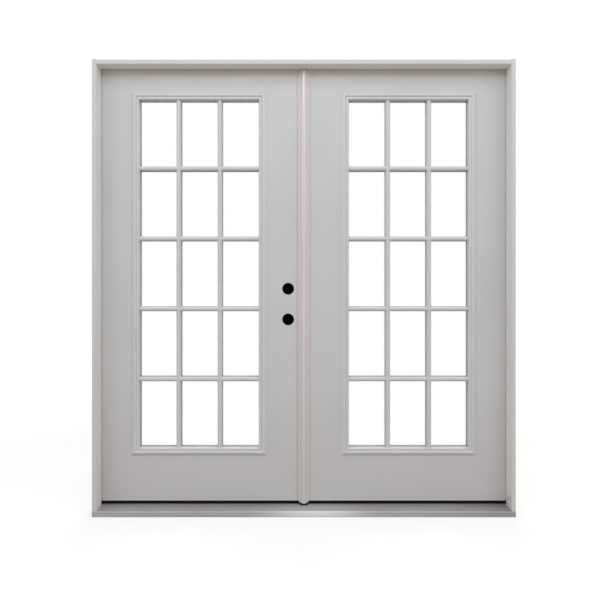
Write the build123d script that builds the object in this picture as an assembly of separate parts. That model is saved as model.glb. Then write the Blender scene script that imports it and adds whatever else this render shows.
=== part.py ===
from build123d import *
import os

# A pair of glazed inswing doors in a rabbeted frame with an aluminium sill.
# The left leaf is the active one; the right leaf carries the astragal and its flush bolts.
# Millimetres, +Z up, -Y is the outdoor face, origin at the middle of the sill's underside.

# Whole unit
unit_width = 1880.0
unit_height = 2029.0
frame_depth = 116.0
leg_horn = 3.0

# Rabbeted frame members, and the gaps between them and the leaves
jamb_thickness = 19.0
rabbet_depth = 10.0
member_edge_radius = 1.5
stop_gap = 3.5
leaf_gap = 3.0
sill_gap = 10.0
kerf_width = 3.0
kerf_depth = 8.0
kerf_setback = 4.0
strip_width = 6.0
soft_clearance = 0.3

# Sill: aluminium nose and tread over a composite base, with a raised riser under the leaves
nose_height = 25.0
tread_height = 29.0
tread_wall = 2.2
nose_radius = 3.0
nose_groove_width = 2.0
nose_groove_depth = 1.2
nose_groove_shares = (0.3, 0.62)
riser_height = 36.0
riser_seat_height = 22.0
riser_setback = 6.5
pad_height = 24.0
sill_pad_width = 36.0
sill_pad_depth = 17.0

# Leaf: two folded steel skins over wooden stiles and rails, filled with foam
leaf_thickness = 44.5
skin_thickness = 0.6
skin_return = 6.0
stile_width = 32.0
rail_height = 38.0
sweep_setback = 3.0
sweep_wall = 2.0
sweep_clearance = 0.5
sweep_fins = 3

# Glazed opening, its moulded frames and the sealed glass
hinge_stile_show = 142.5
lock_stile_show = 158.5
top_rail_show = 109.5
bottom_rail_show = 206.5
lite_face = 37.0
lite_rise = 11.0
lite_lip = 1.5
lite_land = 1.0
glass_bite = 10.0
boss_channel = 9.0
boss_clearance = 0.6
pane_thickness = 4.0
spacer_depth = 14.0
spacer_width = 7.0
spacer_inset = 3.0
lite_columns = 3
lite_rows = 5
muntin_width = 22.0
muntin_rise = 1.0
muntin_foot = 3.0

# Lite frame section, as shares of its face and of its rise
rim_outer_share = 0.3
rim_inner_share = 0.5
rim_shoulder_share = 0.88
groove_share = 0.63
groove_height_share = 0.42
bead_share = 0.8
bead_height_share = 0.66
bead_edge_share = 0.93
plug_height_share = 0.62
bead_end_share = -0.1
muntin_top_share = 0.5
muntin_shoulder_share = 0.86
muntin_embed_share = 0.2

# Screws that clamp the two lite frames together, with their caps
lite_screw_radius = 1.8
lite_screw_head_radius = 3.2
lite_screw_head_height = 2.4
lite_screw_seat = 2.0
lite_screw_tip = 1.5
side_screw_shares = (0.08, 0.25, 0.42, 0.58, 0.75, 0.92)
end_screw_shares = (0.25, 0.75)

# Lock preparation in the active leaf
lock_bore_radius = 27.0
lock_backset = 60.3
lockset_height = 826.0
deadbolt_spacing = 139.7
latch_bore_radius = 12.7
faceplate_width = 25.4
faceplate_height = 57.0
faceplate_depth = 3.0
lock_block_width = 75.0
lock_block_margin = 70.0
bore_cap_lap = 3.0
bore_cap_wall = 2.0

# Butt hinges
hinge_height = 101.6
hinge_plate_wall = 2.5
hinge_plate_depth = 35.0
hinge_top_offset = 177.8
hinge_bottom_offset = 279.4
pin_setout = 8.0
pin_radius = 3.5
pin_head_radius = 5.5
pin_head_height = 3.0
pin_head_clearance = 0.1
knuckle_radius = 6.5
knuckle_count = 5
knuckle_gap = 0.3
knuckle_clearance = 0.5
fit_clearance = 0.05
hinge_screw_head_radius = 4.2
hinge_screw_head_height = 2.2
hinge_screw_radius = 2.2
hinge_screw_length = 8.0
hinge_screw_shares = ((0.35, -0.38), (0.65, -0.16), (0.65, 0.16), (0.35, 0.38))

# Astragal on the passive leaf, a stem with a nose strip, and its seal, boots, screws and strike plates
astragal_stem_width = 19.0
astragal_width = 54.0
astragal_ridge_width = 24.0
astragal_rise = 16.0
astragal_shoulder = 8.0
astragal_edge = 4.4
astragal_end_radius = 20.0
astragal_head_gap = 3.0
astragal_sill_gap = 2.0
astragal_seal_gap = 3.2
astragal_seal_width = 5.0
boot_inset = 1.5
astragal_screw_head_radius = 4.5
astragal_screw_head_height = 3.0
astragal_screw_radius = 2.4
astragal_screw_length = 42.0
astragal_screws_a_run = 3
strike_width = 28.0
strike_height = 57.0
strike_wall = 1.6
strike_hole_width = 14.0
strike_hole_height = 26.0
strike_pocket_depth = 9.0

# Flush bolts in the ends of the astragal
bolt_radius = 5.0
bolt_length = 180.0
bolt_recess = 1.0
top_bolt_travel = 9.0
bottom_bolt_travel = 24.0
bolt_tab_width = 7.0
bolt_tab_height = 20.0
bolt_tab_offset = 120.0
bolt_tab_recess = 0.6
bolt_hole_clearance = 1.0
bolt_hole_spare = 2.0
bolt_strike_width = 26.0
bolt_strike_length = 60.0
bolt_strike_wall = 1.5
socket_wall = 2.0

# Screws of the frame's corners
frame_screw_head_radius = 4.0
frame_screw_head_height = 3.0
frame_screw_radius = 2.0
frame_screw_length = 62.0
head_screw_shares = (0.15, 0.42, 0.8)
foot_screw_shares = (0.2, 0.45)

# One overrun serves every cut that has to pass through a surface
overrun = 5.0

# Places that follow from the sizes above
front_y = -frame_depth / 2
back_y = frame_depth / 2
leaf_out_y = back_y - leaf_thickness
leaf_mid_y = back_y - leaf_thickness / 2
stop_y = leaf_out_y - stop_gap
riser_y = leaf_out_y + riser_setback
side_x = -unit_width / 2
stop_x = side_x + jamb_thickness
rabbet_x = stop_x - rabbet_depth
head_stop_z = unit_height - jamb_thickness
head_rabbet_z = head_stop_z + rabbet_depth
leg_top = unit_height + leg_horn
leaf_top = head_rabbet_z - leaf_gap
leaf_bottom = riser_height + sill_gap
meeting_x = -(astragal_stem_width + leaf_gap) / 2
hinge_edge_x = rabbet_x + leaf_gap
stem_x0 = meeting_x + leaf_gap
stem_x1 = stem_x0 + astragal_stem_width
pin_x = rabbet_x + leaf_gap / 2
pin_y = back_y + pin_setout
plate_y = back_y - hinge_plate_depth

lite_x0 = hinge_edge_x + hinge_stile_show
lite_x1 = meeting_x - lock_stile_show
lite_mid_x = (lite_x0 + lite_x1) / 2
lite_z0 = leaf_bottom + bottom_rail_show
lite_z1 = leaf_top - top_rail_show
lite_lap = lite_face - glass_bite - boss_channel
glass_thickness = pane_thickness * 2 + spacer_depth
glass_out_y = leaf_mid_y - glass_thickness / 2
glass_in_y = leaf_mid_y + glass_thickness / 2
boss_radius = boss_channel / 2 - boss_clearance
boss_inset = lite_lap + boss_channel / 2

lock_x = meeting_x - lock_backset
lock_heights = (leaf_bottom + lockset_height, leaf_bottom + lockset_height + deadbolt_spacing)
bolt_x = (stem_x0 + stem_x1) / 2
bolt_bore_radius = bolt_radius + fit_clearance
bolt_hole_radius = bolt_radius + bolt_hole_clearance

along_x = (1, 0, 0)
along_y = (0, 1, 0)
along_z = (0, 0, 1)
back_x = (-1, 0, 0)
back_down = (0, 0, -1)
from_base = (Align.CENTER, Align.CENTER, Align.MIN)


def slab(x0, x1, y0, y1, z0, z1):
    """Block between the given limits."""
    middle = Pos((x0 + x1) / 2, (y0 + y1) / 2, (z0 + z1) / 2)
    return middle * Box(x1 - x0, y1 - y0, z1 - z0)


def rod(radius, start, direction, length):
    """Round bar that leaves a point in a direction."""
    return Plane(origin=start, z_dir=direction) * Cylinder(radius, length, align=from_base)


def screw(start, direction, head_radius, head_height, radius, length, clearance=0):
    """Countersunk screw whose flat head lies at the start point; clearance makes its hole."""
    seat = Plane(origin=start, z_dir=direction)
    head = seat * Cone(head_radius + clearance, radius + clearance, head_height, align=from_base)
    return head + rod(radius + clearance, start, direction, length + clearance)


def prism_z(outline, z0, z1):
    """Closed outline in plan, raised from one height to another."""
    return Pos(0, 0, z0) * extrude(make_face(outline), z1 - z0)


def prism_x(outline, x0, x1):
    """Closed outline across the depth, drawn along the width."""
    face = Plane.YZ.offset(x0) * make_face(outline)
    return extrude(face, x1 - x0, dir=along_x)


def other_side(shape):
    """The same piece for the other leaf."""
    return mirror(shape, about=Plane.YZ)


def indoors(shape):
    """The same piece for the indoor face of a leaf."""
    return mirror(shape, about=Plane(origin=(0, leaf_mid_y, 0), z_dir=along_y))


def save(name, shape):
    """One file for each piece, or for each group of like pieces."""
    solids = Compound(children=list(shape)) if isinstance(shape, list) else shape
    export_step(solids, "parts/" + name + ".step")


# Frame

def sill_outline():
    """Nose, sloping tread and the seat of the riser, as the legs' feet are cut to it."""
    return Polyline((front_y, 0), (front_y, nose_height), (riser_y, tread_height),
                    (riser_y, riser_seat_height), (back_y, riser_seat_height), (back_y, 0), close=True)


def leg_section():
    """Rabbeted section of the left leg in plan, with the kerf for its seal."""
    kerf_x0 = stop_x - kerf_setback - kerf_width / 2
    kerf_x1 = kerf_x0 + kerf_width
    return Polyline((side_x, front_y), (stop_x, front_y), (stop_x, stop_y), (kerf_x1, stop_y),
                    (kerf_x1, stop_y - kerf_depth), (kerf_x0, stop_y - kerf_depth), (kerf_x0, stop_y),
                    (rabbet_x, stop_y), (rabbet_x, back_y), (side_x, back_y), close=True)


def hinge_centres():
    """Heights of the three hinges."""
    low = leaf_bottom + hinge_bottom_offset + hinge_height / 2
    high = leaf_top - hinge_top_offset - hinge_height / 2
    return (low, (low + high) / 2, high)


def hinge_mortises(x0, x1):
    """Recesses for the hinge plates, open at the indoor face."""
    half = hinge_height / 2
    return [slab(x0, x1, plate_y, back_y + overrun, z - half, z + half) for z in hinge_centres()]


def hinge_screws(face_x, direction, clearance=0):
    """Four screws through each hinge plate."""
    found = []
    for z in hinge_centres():
        for depth_share, height_share in hinge_screw_shares:
            start = (face_x, back_y - hinge_plate_depth * depth_share, z + hinge_height * height_share)
            found.append(screw(start, direction, hinge_screw_head_radius, hinge_screw_head_height,
                               hinge_screw_radius, hinge_screw_length, clearance))
    return found


def hinge_leaves(x0, x1, own_knuckles, screw_holes):
    """Hinge plates with every other knuckle, bored for the pin."""
    pitch = hinge_height / knuckle_count
    half_gap = knuckle_gap / 2
    found = []
    for z in hinge_centres():
        foot = z - hinge_height / 2
        plate = slab(x0, x1, plate_y, pin_y, foot, foot + hinge_height)
        for place in range(knuckle_count):
            low = foot + place * pitch
            if place in own_knuckles:
                plate += rod(knuckle_radius, (pin_x, pin_y, low + half_gap), along_z, pitch - knuckle_gap)
            else:
                plate -= slab(x0 - overrun, x1 + overrun, pin_y - knuckle_radius - knuckle_clearance,
                              pin_y + overrun, low - half_gap, low + pitch + half_gap)
        plate -= rod(pin_radius + fit_clearance, (pin_x, pin_y, foot - overrun), along_z,
                     hinge_height + overrun * 2)
        found.append(plate - screw_holes)
    return found


def hinge_pins():
    """Loose pins with a button head that rests on the top knuckle."""
    found = []
    for z in hinge_centres():
        top = z + hinge_height / 2 + pin_head_clearance
        shank = rod(pin_radius, (pin_x, pin_y, z - hinge_height / 2), along_z, top - z + hinge_height / 2)
        found.append(shank + rod(pin_head_radius, (pin_x, pin_y, top), along_z, pin_head_height))
    return found


def frame_screws(clearance=0):
    """Corner screws at the left: through the leg into the head, and up through the sill into the leg."""
    sizes = (frame_screw_head_radius, frame_screw_head_height, frame_screw_radius, frame_screw_length)
    head_z = (head_rabbet_z + unit_height) / 2
    foot_x = side_x + jamb_thickness / 2 - rabbet_depth / 2
    found = [screw((side_x, front_y + frame_depth * share, head_z), along_x, *sizes, clearance)
             for share in head_screw_shares]
    found += [screw((foot_x, front_y + frame_depth * share, 0), along_z, *sizes, clearance)
              for share in foot_screw_shares]
    return found


def eased(member, axis, corners):
    """Frame member with its long edges through the given points rounded."""
    edges = [member.edges().filter_by(axis).sort_by_distance(corner)[0] for corner in corners]
    return fillet(edges, member_edge_radius)


def left_leg():
    """Left jamb: rabbeted, coped over the sill, mortised for the hinges."""
    corners = ((side_x, front_y), (stop_x, front_y), (stop_x, stop_y), (rabbet_x, back_y), (side_x, back_y))
    leg = prism_z(leg_section(), 0, leg_top)
    leg = eased(leg, Axis.Z, [(*corner, leg_top / 2) for corner in corners])
    leg -= prism_x(sill_outline(), side_x - overrun, stop_x + overrun)
    leg -= hinge_mortises(rabbet_x - hinge_plate_wall, rabbet_x + overrun)
    return leg - hinge_screws(rabbet_x, back_x, fit_clearance) - frame_screws(fit_clearance)


def head():
    """Head between the legs, rabbeted like them, drilled for the top bolt."""
    kerf_z = head_stop_z + kerf_setback
    corners = ((front_y, head_stop_z), (stop_y, head_stop_z), (front_y, unit_height), (back_y, head_rabbet_z),
               (back_y, unit_height))
    member = slab(stop_x, -stop_x, front_y, stop_y, head_stop_z, unit_height)
    member += slab(rabbet_x, -rabbet_x, stop_y, back_y, head_rabbet_z, unit_height)
    member = eased(member, Axis.X, [(0, *corner) for corner in corners])
    member -= slab(stop_x - overrun, -stop_x + overrun, stop_y - kerf_depth, stop_y,
                   kerf_z - kerf_width / 2, kerf_z + kerf_width / 2)
    member -= bolt_strike_blank()
    member -= rod(bolt_hole_radius, (bolt_x, leaf_mid_y, leaf_top), along_z,
                  top_bolt_travel + bolt_hole_spare)
    holes = frame_screws(fit_clearance)
    return member - holes - [other_side(hole) for hole in holes]


def bolt_strike_blank():
    """Plate let in flush with the underside of the head."""
    half_length = bolt_strike_length / 2
    half_width = bolt_strike_width / 2
    return slab(bolt_x - half_length, bolt_x + half_length, leaf_mid_y - half_width, leaf_mid_y + half_width,
                head_rabbet_z, head_rabbet_z + bolt_strike_wall)


def bolt_strike():
    return bolt_strike_blank() - rod(bolt_hole_radius, (bolt_x, leaf_mid_y, head_rabbet_z - overrun), along_z,
                                     bolt_strike_wall + overrun * 2)


def socket_foot():
    """Lowest point of the bottom bolt's socket."""
    return leaf_bottom + bolt_recess - bottom_bolt_travel - bolt_hole_spare


def bolt_socket():
    """Sleeve in the riser that takes the bottom bolt."""
    foot = (bolt_x, leaf_mid_y, socket_foot())
    length = riser_height - socket_foot()
    sleeve = rod(bolt_hole_radius + socket_wall, foot, along_z, length)
    return sleeve - rod(bolt_hole_radius, foot, along_z, length)


def socket_hole():
    """Hole for that sleeve."""
    return rod(bolt_hole_radius + socket_wall + fit_clearance, (bolt_x, leaf_mid_y, socket_foot()), along_z,
               riser_height - socket_foot() + overrun)


def sill_tread():
    """Aluminium extrusion: ribbed nose and sloping tread."""
    outline = Polyline((front_y, 0), (front_y, nose_height), (riser_y, tread_height),
                       (riser_y, tread_height - tread_wall), (front_y + tread_wall, nose_height - tread_wall),
                       (front_y + tread_wall, 0), close=True)
    tread = prism_x(outline, side_x, -side_x)
    nose = tread.edges().filter_by(Axis.X).sort_by_distance((0, front_y, nose_height))[0]
    tread = fillet(nose, nose_radius)
    for share in nose_groove_shares:
        low = nose_height * share
        tread -= slab(side_x - overrun, -side_x + overrun, front_y - overrun, front_y + nose_groove_depth,
                      low, low + nose_groove_width)
    holes = frame_screws(fit_clearance)
    return tread - holes - [other_side(hole) for hole in holes]


def sill_base():
    """Composite base that fills the sill under the tread and the riser."""
    outline = Polyline((front_y + tread_wall, 0), (front_y + tread_wall, nose_height - tread_wall),
                       (riser_y, tread_height - tread_wall), (riser_y, riser_seat_height),
                       (back_y, riser_seat_height), (back_y, 0), close=True)
    holes = frame_screws(fit_clearance)
    base = prism_x(outline, side_x, -side_x)
    return base - holes - [other_side(hole) for hole in holes] - socket_hole()


def sill_riser():
    return slab(rabbet_x, -rabbet_x, riser_y, back_y, riser_seat_height, riser_height) - socket_hole()


def leg_seal():
    """Kerf-in weatherstrip of the left leg."""
    middle = stop_x - kerf_setback
    half_tongue = kerf_width / 2 - fit_clearance
    kerf_foot = stop_y - kerf_depth + soft_clearance
    seal = slab(middle - strip_width / 2, middle + strip_width / 2, stop_y, leaf_out_y - soft_clearance,
                riser_height, head_rabbet_z)
    return seal + slab(middle - half_tongue, middle + half_tongue, kerf_foot, stop_y,
                       riser_height, head_rabbet_z)


def head_seal():
    """Kerf-in weatherstrip of the head."""
    middle = head_stop_z + kerf_setback
    half_tongue = kerf_width / 2 - fit_clearance
    seal = slab(stop_x, -stop_x, stop_y, leaf_out_y - soft_clearance,
                middle - strip_width / 2, middle + strip_width / 2)
    return seal + slab(stop_x, -stop_x, stop_y - kerf_depth + soft_clearance, stop_y,
                       middle - half_tongue, middle + half_tongue)


def corner_pad():
    """Foam pad on the left leg at the foot of the leaf's edge."""
    return slab(rabbet_x, hinge_edge_x - soft_clearance, leaf_out_y, back_y - sweep_setback,
                riser_height, riser_height + pad_height)


def sill_pad():
    """Foam wedge on the tread, against the riser, under the foot of the astragal."""
    slope = (tread_height - nose_height) / (riser_y - front_y)
    outline = Polyline((riser_y, tread_height), (riser_y, riser_height),
                       (riser_y - sill_pad_depth, tread_height - sill_pad_depth * slope), close=True)
    return prism_x(outline, -sill_pad_width / 2, sill_pad_width / 2)


# Leaf, as the left one; the right one mirrors it

def lite_cutout():
    """Hole through the leaf for the glass and its frames."""
    return slab(lite_x0 + lite_lap, lite_x1 - lite_lap, leaf_out_y - overrun, back_y + overrun,
                lite_z0 + lite_lap, lite_z1 - lite_lap)


def lock_bores():
    """Two cross bores, each with a latch bore and a recess for its faceplate in the meeting edge."""
    cuts = []
    for z in lock_heights:
        cuts.append(rod(lock_bore_radius, (lock_x, leaf_out_y - overrun, z), along_y,
                        leaf_thickness + overrun * 2))
        cuts.append(rod(latch_bore_radius, (lock_x, leaf_mid_y, z), along_x, lock_backset + overrun))
        cuts.append(slab(meeting_x - faceplate_depth, meeting_x + overrun,
                         leaf_mid_y - faceplate_width / 2, leaf_mid_y + faceplate_width / 2,
                         z - faceplate_height / 2, z + faceplate_height / 2))
    return cuts


def outer_skin():
    """Steel sheet with a folded return along both upright edges."""
    sheet = slab(hinge_edge_x, meeting_x, leaf_out_y, leaf_out_y + skin_thickness, leaf_bottom, leaf_top)
    return sheet + skin_returns() - lite_cutout()


def skin_returns():
    """Folds of the outdoor skin over the edges of the stiles."""
    return [slab(x0, x0 + skin_thickness, leaf_out_y, leaf_out_y + skin_return, leaf_bottom, leaf_top)
            for x0 in (hinge_edge_x, meeting_x - skin_thickness)]


def stile(x0, x1):
    """Wooden stile, rebated for the folds of both skins."""
    bar = slab(x0, x1, leaf_out_y + skin_thickness, back_y - skin_thickness, leaf_bottom, leaf_top)
    folds = skin_returns()
    return bar - folds - [indoors(fold) for fold in folds]


def rail(z0, z1):
    """Rail between the stiles and between the skins."""
    return slab(hinge_edge_x + stile_width, meeting_x - stile_width, leaf_out_y + skin_thickness,
                back_y - skin_thickness, z0, z1)


def foam_core():
    return rail(leaf_bottom + rail_height, leaf_top - rail_height) - lite_cutout()


def lock_block():
    """Solid block behind the lock bores."""
    x1 = meeting_x - stile_width
    return slab(x1 - lock_block_width, x1, leaf_out_y + skin_thickness, back_y - skin_thickness,
                lock_heights[0] - lock_block_margin, lock_heights[1] + lock_block_margin)


def bore_caps():
    """Black caps over the indoor ends of the lock bores."""
    radius = lock_bore_radius + bore_cap_lap
    return [rod(radius, (lock_x, back_y, z), along_y, bore_cap_wall) for z in lock_heights]


def lite_section():
    """Section of a lite frame: lip, raised rim, groove, bead, and the leg that holds the glass."""
    def at(inward, outward):
        return (leaf_out_y - outward, lite_z0 + inward)

    rim_outer = lite_face * rim_outer_share
    rim_inner = lite_face * rim_inner_share
    groove = lite_face * groove_share
    leg = lite_face - glass_bite + fit_clearance
    shoulder = lite_rise * rim_shoulder_share
    groove_rise = lite_rise * groove_height_share
    bead_end = at(lite_face * bead_edge_share, lite_rise * bead_end_share)
    glass = leaf_out_y - glass_out_y
    outline = Polyline(at(0, 0), at(0, lite_lip), at(rim_outer, shoulder))
    outline += ThreePointArc(at(rim_outer, shoulder), at((rim_outer + rim_inner) / 2, lite_rise),
                             at(rim_inner, shoulder))
    outline += Line(at(rim_inner, shoulder), at(groove, groove_rise))
    bead_top = at(lite_face * bead_share, lite_rise * bead_height_share)
    outline += ThreePointArc(at(groove, groove_rise), bead_top, bead_end)
    outline += Polyline(bead_end, at(lite_face, lite_land + glass), at(lite_face, glass), at(leg, glass),
                        at(leg, 0), at(0, 0))
    return Plane.YZ.offset(lite_mid_x) * make_face(outline)


def muntin_section():
    """Section of a muntin, half width across and depth along: foot, slopes and a crowned top."""
    half = muntin_width / 2
    top = half * muntin_top_share
    back = glass_out_y - soft_clearance
    front = leaf_out_y - muntin_rise
    shoulder = back - (back - front) * muntin_shoulder_share
    outline = Polyline((-top, shoulder), (-half, back - muntin_foot), (-half, back), (half, back),
                       (half, back - muntin_foot), (top, shoulder))
    return outline + ThreePointArc((top, shoulder), (0, front), (-top, shoulder))


def muntin_places(low, high, count):
    """Middles of the bars that divide a daylight into equal panes."""
    pane = (high - low - muntin_width * (count - 1)) / count
    return [low + (pane + muntin_width) * (place + 1) - muntin_width / 2 for place in range(count - 1)]


def muntins():
    """Upright and level bars, each let into the frame at its ends."""
    x0 = lite_x0 + lite_face
    x1 = lite_x1 - lite_face
    z0 = lite_z0 + lite_face
    z1 = lite_z1 - lite_face
    embed = lite_face * muntin_embed_share
    bars = [Pos(x, 0, 0) * prism_z(muntin_section(), z0 - embed, z1 + embed)
            for x in muntin_places(x0, x1, lite_columns)]
    level = Plane(origin=(x0 - embed, 0, 0), x_dir=back_down, z_dir=along_x)
    bar = extrude(level * make_face(muntin_section()), x1 - x0 + embed * 2, dir=along_x)
    return bars + [Pos(0, 0, z) * bar for z in muntin_places(z0, z1, lite_rows)]


def boss_places():
    """Middles of the screw bosses round the glass."""
    x0 = lite_x0 + boss_inset
    x1 = lite_x1 - boss_inset
    z0 = lite_z0 + boss_inset
    z1 = lite_z1 - boss_inset
    places = [(x, z0 + (z1 - z0) * share) for share in side_screw_shares for x in (x0, x1)]
    return places + [(x0 + (x1 - x0) * share, z) for share in end_screw_shares for z in (z0, z1)]


def lite_screws(clearance=0):
    """Pan-head screws from the indoor frame into the outdoor one."""
    seat = back_y + lite_screw_seat
    tip = leaf_out_y - lite_screw_tip - clearance
    found = []
    for x, z in boss_places():
        shank = rod(lite_screw_radius + clearance, (x, tip, z), along_y, seat - tip)
        head = rod(lite_screw_head_radius + clearance, (x, seat, z), along_y, lite_screw_head_height)
        found.append(shank + head)
    return found


def lite_plugs():
    """Caps over the screw heads, seated in the groove of the indoor frame."""
    foot = back_y + lite_screw_seat + lite_screw_head_height + fit_clearance
    length = back_y + lite_rise * plug_height_share - foot
    return [rod(lite_screw_head_radius, (x, foot, z), along_y, length) for x, z in boss_places()]


def lite_frame():
    """One moulded frame with its muntins and screw bosses, on the outdoor face."""
    corners = ((lite_mid_x, lite_z0), (lite_x1, lite_z0), (lite_x1, lite_z1), (lite_x0, lite_z1),
               (lite_x0, lite_z0))
    path = Wire.make_polygon([(x, leaf_out_y, z) for x, z in corners], close=True)
    ring = sweep(lite_section(), path=path, transition=Transition.RIGHT)
    bosses = [rod(boss_radius, (x, leaf_out_y - lite_lip, z), along_y,
                  leaf_thickness / 2 + lite_lip - soft_clearance / 2) for x, z in boss_places()]
    return ring + muntins() + bosses


def indoor_lite_frame():
    """The indoor frame, with a well for each screw head and cap."""
    seat = back_y + lite_screw_seat
    wells = [rod(lite_screw_head_radius + fit_clearance, (x, seat, z), along_y, lite_rise + overrun)
             for x, z in boss_places()]
    return indoors(lite_frame()) - lite_screws(fit_clearance) - wells


def pane(y0):
    inset = lite_face - glass_bite
    return slab(lite_x0 + inset, lite_x1 - inset, y0, y0 + pane_thickness, lite_z0 + inset, lite_z1 - inset)


def glass_spacer():
    """Channel that keeps the two panes apart all round."""
    edge = lite_face - glass_bite + spacer_inset
    inner = edge + spacer_width
    y0 = glass_out_y + pane_thickness
    y1 = y0 + spacer_depth
    ring = slab(lite_x0 + edge, lite_x1 - edge, y0, y1, lite_z0 + edge, lite_z1 - edge)
    return ring - slab(lite_x0 + inner, lite_x1 - inner, y0 - overrun, y1 + overrun,
                       lite_z0 + inner, lite_z1 - inner)


def sweep_seal():
    """Finned seal under the leaf, just clear of the riser."""
    x0 = hinge_edge_x + boot_inset
    x1 = meeting_x - boot_inset
    y0 = leaf_out_y + sweep_setback
    y1 = back_y - sweep_setback
    seal = slab(x0, x1, y0, y1, leaf_bottom - sweep_wall, leaf_bottom)
    step = (y1 - y0 - sweep_wall) / (sweep_fins - 1)
    for fin in range(sweep_fins):
        low = y0 + step * fin
        seal += slab(x0, x1, low, low + sweep_wall, riser_height + sweep_clearance, leaf_bottom)
    return seal


def leaf_pieces(bores):
    """Pieces that both leaves share, with the lock bores cut where the leaf has them."""
    plate_x1 = hinge_edge_x + hinge_plate_wall
    mortises = hinge_mortises(hinge_edge_x - overrun, plate_x1)
    screw_holes = hinge_screws(hinge_edge_x, along_x, fit_clearance)
    skin = outer_skin()
    frame = lite_frame()
    return {
        "outer_skin": skin - bores,
        "inner_skin": indoors(skin) - mortises - bores,
        "hinge_stile": stile(hinge_edge_x, hinge_edge_x + stile_width) - mortises - screw_holes,
        "lock_stile": stile(meeting_x - stile_width, meeting_x) - bores,
        "top_rail": rail(leaf_top - rail_height, leaf_top),
        "bottom_rail": rail(leaf_bottom, leaf_bottom + rail_height),
        "outer_lite_frame": frame - lite_screws(fit_clearance),
        "inner_lite_frame": indoor_lite_frame(),
        "outer_glass": pane(glass_out_y),
        "inner_glass": pane(glass_in_y - pane_thickness),
        "glass_spacer": glass_spacer(),
        "lite_screws": lite_screws(),
        "lite_plugs": lite_plugs(),
        "sweep": sweep_seal(),
        "leaf_hinges": hinge_leaves(hinge_edge_x, plate_x1, (1, 3), screw_holes),
        "hinge_screws": hinge_screws(hinge_edge_x, along_x),
    }


# Astragal on the passive leaf

def astragal_limits():
    """Foot and top of the astragal's nose."""
    return riser_height + astragal_sill_gap, head_stop_z - astragal_head_gap


def strike_blanks():
    """Strike plates let in flush with the astragal's edge, level with the lock bores."""
    return [slab(stem_x0, stem_x0 + strike_wall, leaf_mid_y - strike_width / 2, leaf_mid_y + strike_width / 2,
                 z - strike_height / 2, z + strike_height / 2) for z in lock_heights]


def strike_pockets():
    """Openings for the latch and the deadbolt."""
    return [slab(stem_x0 - overrun, stem_x0 + strike_pocket_depth, leaf_mid_y - strike_hole_width / 2,
                 leaf_mid_y + strike_hole_width / 2, z - strike_hole_height / 2, z + strike_hole_height / 2)
            for z in lock_heights]


def astragal_screws(clearance=0):
    """Screws through the astragal into the passive leaf, below and above the strikes."""
    half = strike_height / 2
    runs = ((leaf_bottom + bolt_length, lock_heights[0] - half),
            (lock_heights[1] + half, leaf_top - bolt_length))
    found = []
    for low, high in runs:
        for place in range(astragal_screws_a_run):
            z = low + (high - low) * (place + 1) / (astragal_screws_a_run + 1)
            found.append(screw((stem_x0, leaf_mid_y, z), along_x, astragal_screw_head_radius,
                               astragal_screw_head_height, astragal_screw_radius, astragal_screw_length,
                               clearance))
    return found


def bolt(end_z, inward, tab_z):
    """Round bolt with a thumb tab that shows in the astragal's edge."""
    bar = rod(bolt_radius, (bolt_x, leaf_mid_y, end_z), inward, bolt_length)
    half = bolt_tab_width / 2
    return bar + slab(stem_x0 + bolt_tab_recess, bolt_x, leaf_mid_y - half, leaf_mid_y + half,
                      tab_z, tab_z + bolt_tab_height)


def bolt_slot(tab_z, low_travel, high_travel):
    """Slot for a thumb tab over the bolt's travel."""
    half = bolt_tab_width / 2 + soft_clearance
    return slab(stem_x0 - overrun, bolt_x, leaf_mid_y - half, leaf_mid_y + half,
                tab_z - low_travel - soft_clearance, tab_z + bolt_tab_height + high_travel + soft_clearance)


top_bolt_end = leaf_top - bolt_recess
bottom_bolt_end = leaf_bottom + bolt_recess
top_tab_z = top_bolt_end - bolt_tab_offset - bolt_tab_height
bottom_tab_z = bottom_bolt_end + bolt_tab_offset


def nose_strip():
    """Ridged strip on the outdoor edge of the stem; it laps both leaves."""
    half = astragal_width / 2
    ridge = astragal_ridge_width / 2
    foot, top = astragal_limits()
    edge_y = leaf_out_y - astragal_edge
    shoulder_y = leaf_out_y - astragal_shoulder
    seal_y = leaf_out_y - astragal_seal_gap
    outline = ThreePointArc((-ridge, shoulder_y), (0, leaf_out_y - astragal_rise), (ridge, shoulder_y))
    outline += Polyline((ridge, shoulder_y), (half, edge_y), (half, leaf_out_y), (stem_x0, leaf_out_y),
                        (stem_x0, seal_y), (-half, seal_y), (-half, edge_y), (-ridge, shoulder_y))
    face = RectangleRounded(astragal_width, top - foot, astragal_end_radius)
    face = Plane.XZ * Pos(0, (foot + top) / 2) * face
    return prism_z(outline, foot, top) & extrude(face, frame_depth, both=True)


def stem_bar():
    """Bar screwed to the meeting edge of the passive leaf, bored and slotted for the flush bolts."""
    bar = slab(stem_x0, stem_x1, leaf_out_y, back_y, leaf_bottom, leaf_top)
    depth = bolt_length + bolt_recess
    bar -= rod(bolt_bore_radius, (bolt_x, leaf_mid_y, leaf_top - depth), along_z, depth + overrun)
    bar -= rod(bolt_bore_radius, (bolt_x, leaf_mid_y, leaf_bottom - overrun), along_z, depth + overrun)
    bar -= [bolt_slot(top_tab_z, 0, top_bolt_travel), bolt_slot(bottom_tab_z, bottom_bolt_travel, 0)]
    return bar - astragal_screws(fit_clearance) - strike_blanks() - strike_pockets()


def boot(z0, z1):
    """Soft pad on an end of the stem, with a hole for its bolt."""
    pad = slab(stem_x0 + boot_inset, stem_x1 - boot_inset, leaf_out_y + sweep_setback,
               back_y - sweep_setback, z0, z1)
    return pad - rod(bolt_hole_radius, (bolt_x, leaf_mid_y, z0 - overrun), along_z, z1 - z0 + overrun * 2)


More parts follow.
